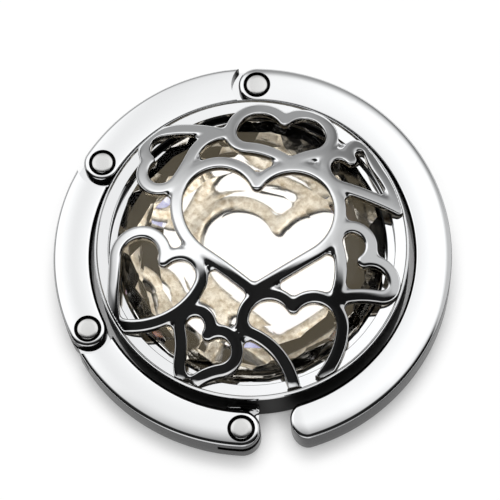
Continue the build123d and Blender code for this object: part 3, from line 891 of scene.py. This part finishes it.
def flat_lattice(sizes):
    """The lattice laid out flat: bars along the hearts, and a round knuckle at each notch and tip. All are
    larger by the fillet, which the casting loses again."""
    half_width = sizes.bar_width / 2 + sizes.fillet
    half_thickness = sizes.bar_thickness / 2 + sizes.fillet
    bend = sizes.bar_round + sizes.fillet
    right = edge_arc((half_width - bend, bend - half_thickness), bend, -90, 0)
    right += edge_arc((half_width - bend, half_thickness - bend), bend, 0, 90)
    disc = [(0, -half_thickness)] + right + [(0, half_thickness)]
    lattice = bmesh.new()
    for notch, tip, sides in HEART_SHARES:
        for end in (Vector(notch) * sizes.reach, Vector(tip) * sizes.reach):
            if end.length < sizes.reach + sizes.fillet:
                knuckle = revolve(disc, END_STEPS, Matrix.Translation(end.to_3d()), closed=False)
                add_mesh(lattice, mesh_of(knuckle, "knuckle"))
    section = bpy.data.curves.new("bar_section", "CURVE")
    section.dimensions = "2D"
    add_spline(section, right + [(-across, up) for across, up in right[::-1]], closed=True)
    bars = bpy.data.curves.new("bars", "CURVE")
    bars.dimensions = "3D"
    bars.twist_mode = "Z_UP"
    bars.bevel_mode = "OBJECT"
    bars.bevel_object = put("bar_section", section)
    bars.use_fill_caps = True
    for line in heart_lines(sizes):
        add_spline(bars, line)
    drawn = put("bars", bars)
    add_mesh(lattice, bake(drawn))
    for helper in (drawn, bars.bevel_object):
        bpy.data.objects.remove(helper)
    return mesh_of(lattice, "flat_lattice")


def cast(flat, sizes):
    """The flat lattice melted into one casting and shrunk to size, with fillets in its inner corners."""
    mould = put("mould", flat)
    for name, kind, settings in (
            ("melt", "REMESH", {"mode": "VOXEL", "voxel_size": sizes.grain}),
            ("calm", "SMOOTH", {"factor": 0.5, "iterations": 3}),
            ("shrink", "DISPLACE", {"mid_level": 0.0, "strength": -sizes.fillet}),
            ("soften", "SMOOTH", {"factor": 0.5, "iterations": 4})):
        step = mould.modifiers.new(name, kind)
        for setting, value in settings.items():
            setattr(step, setting, value)
    mesh = bake(mould)
    bpy.data.objects.remove(mould)
    return mesh


def mark_sides(mesh, sizes):
    """Marks how far each point of the flat casting faces up, and how far it is of the underside."""
    for name in ("facing", "underside"):
        mesh.attributes.new(name, "FLOAT", "POINT")
    facing, underside = (mesh.attributes[name].data for name in ("facing", "underside"))
    for vert, up, under in zip(mesh.vertices, facing, underside):
        up.value = vert.normal.z
        low_share = 0.5 - 2 * vert.co.z / sizes.bar_thickness
        under.value = min(max(low_share - vert.normal.z, 0.0), 1.0)


def press_dome(mesh, sizes):
    """Presses the flat casting to a dome, and its outer ends down to the lip."""
    rise = sizes.dome_top - sizes.dome_edge
    sphere = (sizes.dome_edge_radius ** 2 + rise ** 2) / (2 * rise)
    for vert in mesh.vertices:
        radius = vert.co.xy.length
        if radius > sizes.reach:
            vert.co.x *= sizes.reach / radius
            vert.co.y *= sizes.reach / radius
            radius = sizes.reach
        share = max(radius - sizes.reach + sizes.root_width, 0.0) / sizes.root_width
        drop = sphere - math.sqrt(sphere ** 2 - radius ** 2) + sizes.root_drop * share * share
        vert.co.z += sizes.dome_top - sizes.bar_thickness / 2 - drop


class HOOK_OT_lattice(bpy.types.Operator):
    """Builds the domed lattice of hearts, its bars rounded and melted together as a casting is"""
    bl_idname = "purse_hook.lattice"
    bl_label = "Heart Lattice"

    def execute(self, context):
        sizes = context.scene.hook_lattice
        mesh = cast(flat_lattice(sizes), sizes)
        mark_sides(mesh, sizes)
        press_dome(mesh, sizes)
        keep_mesh("heart_lattice", mesh, "chrome_plate", "disc", ("heart_cover",), sharp=0,
                  finish_name="cast_lattice")
        return {"FINISHED"}


class HOOK_OT_rim(bpy.types.Operator):
    """Builds the cover's turned rim: a rounded lip and a flat ledge inside it"""
    bl_idname = "purse_hook.rim"
    bl_label = "Rim"

    def execute(self, context):
        sizes = context.scene.hook_lattice
        top = sizes.rim_height
        ledge = top - sizes.ledge_drop
        lip = RIM_RADIUS - sizes.lip_width
        crest = sizes.crest_round
        inner = sizes.ledge_inner
        outline = [(RIM_RADIUS, COVER_FLOOR)]
        outline += edge_arc((RIM_RADIUS - sizes.rim_round, top - sizes.rim_round), sizes.rim_round, 0, 55, 8)
        outline += edge_arc((lip + crest, top - 1.5 * crest), crest, 90, 180)
        outline += [(lip, ledge + sizes.ledge_corner), (lip - sizes.ledge_corner, ledge)]
        outline += [(inner + sizes.ledge_bevel, ledge), (inner, ledge - sizes.ledge_bevel)]
        outline += [(inner, COVER_FLOOR)]
        keep("cover_rim", revolve(outline, DISC_STEPS), "chrome_plate", "disc")
        return {"FINISHED"}


def smooth_copy(name, slot, body):
    """A merged, smooth-shaded copy of a CAD node whose shape is right as it is."""
    bm = bmesh.new()
    bm.from_mesh(frame["nodes"][name].data)
    bmesh.ops.remove_doubles(bm, verts=bm.verts, dist=CAD_MERGE)
    keep_mesh(name + "_skin", mesh_of(bm, name), slot, body, (name,), sharp=35.0)


class HOOK_OT_cup(bpy.types.Operator):
    """Finishes the base cup, the swivel neck and the small hardware"""
    bl_idname = "purse_hook.cup"
    bl_label = "Cup and Neck"

    def execute(self, context):
        cup = context.scene.hook_cup
        wall, edge = cup.wall_radius, cup.floor_round
        outline = [(0, CUP_FLOOR), (wall - edge, CUP_FLOOR)]
        outline += edge_arc((wall - edge, CUP_FLOOR + edge), edge, -80, 0, 4)
        outline += [(wall, SEAM_HEIGHT), (cup.bore_radius, SEAM_HEIGHT), (cup.bore_radius, cup.seat_height),
                    (cup.seat_radius, cup.seat_height), (cup.seat_radius, cup.floor_height),
                    (0, cup.floor_height)]
        half_width = cup.stub_width / 2
        half_height = cup.stub_height / 2
        stub = block((-half_width, -half_height, -cup.stub_root), (half_width, half_height, cup.stub_reach))
        corners = [side for side in stub.edges
                   if abs(side.verts[0].co.z - side.verts[1].co.z) > cup.stub_reach]
        bmesh.ops.bevel(stub, geom=corners, offset=cup.stub_round, affect="EDGES", segments=6, profile=0.5,
                        material=-1)
        neck = outward_matrix(HINGES["first_hinge"], wall)
        bmesh.ops.transform(stub, matrix=neck, verts=stub.verts)
        magnet = outward_matrix(sum(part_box("cup_magnet"), Vector()) / 2, wall)
        mesh = combine(revolve(outline, DISC_STEPS, closed=False), [
            ("UNION", stub),
            ("DIFFERENCE", cylinder(cup.pin_radius, -cup.bore_depth, MM, neck)),
            ("DIFFERENCE", cylinder(cup.magnet_radius, -cup.bore_depth, -cup.magnet_web, magnet)),
        ])
        # Painted shade on the cup's side wall
        shade = mesh.attributes.new("shade", "FLOAT", "FACE")
        for face, value in zip(mesh.polygons, shade.data):
            value.value = cup.wall_shade * wall_share(face)
        keep_mesh("cup_shell", mesh, "chrome_plate", "disc", ("base_cup",))
        smooth_copy("swivel_lug", "chrome_plate", "swivel")
        smooth_copy("swivel_washer", "rivet_steel", "swivel")
        smooth_copy("cup_magnet", "nickel_magnet", "disc")
        smooth_copy("arm_magnet", "nickel_magnet", "arm")
        return {"FINISHED"}


class HOOK_OT_foot(bpy.types.Operator):
    """Builds the rubber foot, with a rounded edge and shallow grip rings"""
    bl_idname = "purse_hook.foot"
    bl_label = "Rubber Foot"

    def execute(self, context):
        low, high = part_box("rubber_foot")
        radius = high.x
        edge = context.scene.hook_foot.edge
        groove = context.scene.hook_foot.groove
        outline = [(0, high.z), (radius, high.z)] + edge_arc((radius - edge, low.z + edge), edge, 0, -90)
        for tenths in range(9, 2, -1):
            middle = radius * tenths / 10
            outline += [(middle + 2 * groove, low.z), (middle + groove, low.z + groove),
                        (middle - groove, low.z + groove), (middle - 2 * groove, low.z)]
        outline += [(0, low.z)]
        keep("foot_pad", revolve(outline, FOOT_STEPS, closed=False), "black_rubber", "disc", ("rubber_foot",))
        return {"FINISHED"}


def grind_row(bm, count, radius, height, slope, shift, swing=0.0, side=1, margin=0.0):
    """Grinds a row of facets into the top or, for a side of -1, into the back, a margin outside them."""
    for step in range(int(count)):
        lean = math.radians(slope + swing * (-1) ** step)
        turn = math.tau * (step + shift) / count
        across, along = math.cos(turn), math.sin(turn)
        normal = Vector((math.sin(lean) * across, math.sin(lean) * along, side * math.cos(lean)))
        point = Vector((radius * across, radius * along, height)) + normal * margin
        cut = bmesh.ops.bisect_plane(bm, geom=bm.verts[:] + bm.edges[:] + bm.faces[:], dist=CUT_MERGE,
                                     plane_co=point, plane_no=normal, clear_outer=True)
        edges = [item for item in cut["geom_cut"] if isinstance(item, bmesh.types.BMEdge)]
        if edges:
            bmesh.ops.contextual_create(bm, geom=edges)


def grind_back(bm, sizes, margin=0.0):
    """Grinds the steep wall and the rows of the stone's back, or the foil's dish a margin outside them."""
    grind_row(bm, sizes.facets, sizes.pavilion_radius, sizes.girdle_floor, BACK_WALL_SLOPE, 0.0,
              side=-1, margin=margin)
    for share, radius, height, slope, shift, swing in BACK_ROWS:
        grind_row(bm, share * sizes.facets, radius * MM, CRYSTAL_FLOOR + height * MM, slope, shift, swing,
                  side=-1, margin=margin)


class HOOK_OT_stone(bpy.types.Operator):
    """Grinds the faceted crystal"""
    bl_idname = "purse_hook.stone"
    bl_label = "Crystal"

    def execute(self, context):
        sizes = context.scene.hook_stone
        bm = cylinder(CRYSTAL_RADIUS, CRYSTAL_FLOOR, CRYSTAL_TOP)
        rise = CRYSTAL_TOP - sizes.girdle_top
        for share, reach, height, slope, shift in CROWN_ROWS:
            grind_row(bm, share * sizes.facets, reach * CRYSTAL_RADIUS, sizes.girdle_top + height * rise,
                      slope, shift)
        grind_back(bm, sizes)
        keep("cut_crystal", bm, "clear_crystal", "disc", ("crystal",), sharp=0.5)
        return {"FINISHED"}


class HOOK_OT_foil(bpy.types.Operator):
    """Presses the mirror foil over the facets of the stone's back"""
    bl_idname = "purse_hook.foil"
    bl_label = "Mirror Foil"

    def execute(self, context):
        sizes = context.scene.hook_stone
        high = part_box("foil_backing")[1]
        bm = cylinder(high.x, CRYSTAL_FLOOR - sizes.foil_gap, high.z)
        grind_back(bm, sizes, margin=sizes.foil_gap)
        bmesh.ops.recalc_face_normals(bm, faces=bm.faces)
        bare = [face for face in bm.faces if face.normal.z > FOIL_RISE]
        bmesh.ops.delete(bm, geom=bare, context="FACES")
        bmesh.ops.solidify(bm, geom=bm.faces[:], thickness=-sizes.foil_thickness)
        keep("foil_sheet", bm, "mirror_foil", "disc", ("foil_backing",), sharp=0.5)
        return {"FINISHED"}


def set_camera(scene):
    """Puts the camera where the photograph was taken from."""
    studio = scene.hook_studio
    data = bpy.data.cameras.new("studio_camera")
    data.sensor_width = SENSOR_WIDTH
    data.lens = SENSOR_WIDTH * PIXELS_PER_METRE * studio.camera_distance / PICTURE_PIXELS
    data.clip_start = 0.01
    data.clip_end = 20.0
    data.dof.use_dof = False
    aim = Matrix.Translation((0, 0, RING_TOP - AIM_DEPTH))
    turn = Matrix.Rotation(studio.camera_turn, 4, "Z")
    view = turn @ Matrix.Rotation(studio.camera_tilt, 4, "X") @ turn.inverted()
    aside = (PICTURE_PIXELS / 2 - CENTRE_PIXEL[0]) / PIXELS_PER_METRE
    above = (CENTRE_PIXEL[1] - PICTURE_PIXELS / 2) / PIXELS_PER_METRE
    scene.camera = put("studio_camera", data)
    scene.camera.matrix_world = aim @ view @ Matrix.Translation((aside, above, studio.camera_distance))
    scene.view_settings.view_transform = "Standard"


def lay_floor(scene):
    """Lays a wide pale table that keeps the object's shadow."""
    bm = bmesh.new()
    bmesh.ops.create_grid(bm, x_segments=1, y_segments=1, size=scene.hook_studio.floor_reach)
    table = put("table", mesh_of(bm, "table"))
    table.data.materials.append(finish("studio_floor"))


def hang_softbox(scene):
    """Hangs one large softbox overhead, a little behind the object. It doesn't show in metal or glass."""
    studio = scene.hook_studio
    data = bpy.data.lights.new("overhead_softbox", "AREA")
    data.shape = "RECTANGLE"
    data.size = studio.softbox_width
    data.size_y = studio.softbox_depth
    data.energy = studio.softbox_power
    lamp = put("overhead_softbox", data)
    towards = Vector((0, math.sin(studio.softbox_lean), math.cos(studio.softbox_lean)))
    lamp.matrix_world = towards.to_track_quat("Z", "Y").to_matrix().to_4x4()
    lamp.location = towards * studio.softbox_distance
    lamp.visible_glossy = False
    lamp.visible_transmission = False


def build_tent(scene):
    """Builds the room: white to the camera, to the metal a grey tent with a bowed white card behind the
    hook and dark round the camera, and to light from the stone a white card with a rainbow edge."""
    world = bpy.data.worlds.new("studio_room")
    scene.world = world
    world.use_nodes = True
    tree = world.node_tree
    tree.nodes.clear()
    way = node(tree, "ShaderNodeTexCoord").outputs["Generated"]
    split = node(tree, "ShaderNodeSeparateXYZ", {"Vector": way}).outputs
    square = node(tree, "ShaderNodeMath", {0: split["X"], 1: split["X"]}, operation="MULTIPLY")
    bowed = node(tree, "ShaderNodeMath", {0: square, 1: CARD_BOW, 2: split["Y"]}, operation="MULTIPLY_ADD")
    parts = {"sideways": split["X"], "away": split["Y"], "up": split["Z"], "bowed": bowed}
    tent = {}
    for name, (part, start, end, before, after) in TENT_STEPS.items():
        tent[name] = node(tree, "ShaderNodeMapRange", {
            "Value": parts[part], "From Min": start, "From Max": end, "To Min": before, "To Max": after},
            interpolation_type="SMOOTHSTEP")
    seam = node(tree, "ShaderNodeMath", {0: tent["left_seam"], 1: tent["right_seam"]}, operation="MULTIPLY")
    unseamed = node(tree, "ShaderNodeMath", {0: 1.0, 1: seam}, operation="SUBTRACT")
    metal = node(tree, "ShaderNodeMath", {0: tent["card"], 1: tent["front"]}, operation="MAXIMUM")
    for share in (tent["back_wall"], tent["right_wall"], tent["left_wall"], unseamed, TENT_LIGHT):
        metal = node(tree, "ShaderNodeMath", {0: metal, 1: share}, operation="MULTIPLY")
    path = node(tree, "ShaderNodeLightPath").outputs
    from_stone = path["Is Transmission Ray"]
    mirror = node(tree, "ShaderNodeMath", {0: path["Is Glossy Ray"], 1: from_stone}, operation="MAXIMUM")
    matt = node(tree, "ShaderNodeMix", {0: mirror, 2: tent["overhead"], 3: metal})
    seen = node(tree, "ShaderNodeMix", {0: path["Is Camera Ray"], 2: matt, 3: 1.0})
    (middle_x, middle_y), (half_x, half_y) = STONE_CARD_MIDDLE, STONE_CARD_SIZE
    scaled = node(tree, "ShaderNodeVectorMath", {0: way, 1: (1 / half_x, 1 / half_y, 0.0)},
                  operation="MULTIPLY")
    off_card = node(tree, "ShaderNodeVectorMath", {
        0: scaled, 1: (middle_x / half_x, middle_y / half_y, 0.0)}, operation="DISTANCE")
    fire = node(tree, "ShaderNodeValToRGB", {"Fac": off_card}, stops=STONE_CARD_EDGE)
    image = node(tree, "ShaderNodeMath", {0: path["Transmission Depth"], 1: IMAGE_DEPTH},
                 operation="GREATER_THAN")
    hue = node(tree, "ShaderNodeMix", {"Factor": image, "A": fire, "B": WHITE}, data_type="RGBA")
    glare = node(tree, "ShaderNodeMix", {0: image, 2: STONE_LIGHT, 3: IMAGE_LIGHT})
    strength = node(tree, "ShaderNodeMix", {0: from_stone, 2: seen, 3: glare})
    tint = node(tree, "ShaderNodeMix", {"Factor": from_stone, "A": WHITE, "B": hue}, data_type="RGBA")
    glow = node(tree, "ShaderNodeBackground", {"Color": tint, "Strength": strength})
    node(tree, "ShaderNodeOutputWorld", {"Surface": glow})


class HOOK_OT_studio(bpy.types.Operator):
    """Sets the camera, the pale floor and the soft studio light"""
    bl_idname = "purse_hook.studio"
    bl_label = "Studio"

    def execute(self, context):
        set_camera(context.scene)
        lay_floor(context.scene)
        hang_softbox(context.scene)
        build_tent(context.scene)
        return {"FINISHED"}


class HOOK_PT_panel(bpy.types.Panel):
    """Lists the steps that dress the hook, and its sizes and colours"""
    bl_idname = "HOOK_PT_panel"
    bl_label = "Purse Hook"
    bl_space_type = "VIEW_3D"
    bl_region_type = "UI"
    bl_category = "Purse Hook"

    def draw(self, context):
        for operator in OPERATORS:
            self.layout.operator(operator.bl_idname)
        for group, name in GROUPS:
            box = self.layout.box()
            for size in group.__annotations__:
                box.prop(getattr(context.scene, name), size)


GROUPS = (
    (RingSizes, "hook_ring"), (LatticeSizes, "hook_lattice"), (StoneSizes, "hook_stone"),
    (CupSizes, "hook_cup"), (FootSizes, "hook_foot"), (Finishes, "hook_finish"),
    (StudioSettings, "hook_studio"),
)
OPERATORS = (
    HOOK_OT_links, HOOK_OT_rivets, HOOK_OT_lattice, HOOK_OT_rim, HOOK_OT_cup, HOOK_OT_foot,
    HOOK_OT_stone, HOOK_OT_foil, HOOK_OT_studio,
)


def register():
    """Registers the groups of sizes and colours, the operators and the panel."""
    for group, name in GROUPS:
        bpy.utils.register_class(group)
        setattr(bpy.types.Scene, name, PointerProperty(type=group))
    for cls in OPERATORS + (HOOK_PT_panel,):
        bpy.utils.register_class(cls)


def unregister():
    """Takes them out again, last first."""
    for cls in (HOOK_PT_panel,) + OPERATORS[::-1]:
        bpy.utils.unregister_class(cls)
    for group, name in GROUPS[::-1]:
        delattr(bpy.types.Scene, name)
        bpy.utils.unregister_class(group)


def main():
    """Builds the hook and its studio."""
    register()
    bpy.ops.purse_hook.links()
    bpy.ops.purse_hook.rivets()
    bpy.ops.purse_hook.lattice()
    bpy.ops.purse_hook.rim()
    bpy.ops.purse_hook.cup()
    bpy.ops.purse_hook.foot()
    bpy.ops.purse_hook.stone()
    bpy.ops.purse_hook.foil()
    bpy.ops.purse_hook.studio()


if __name__ == "__main__":
    main()
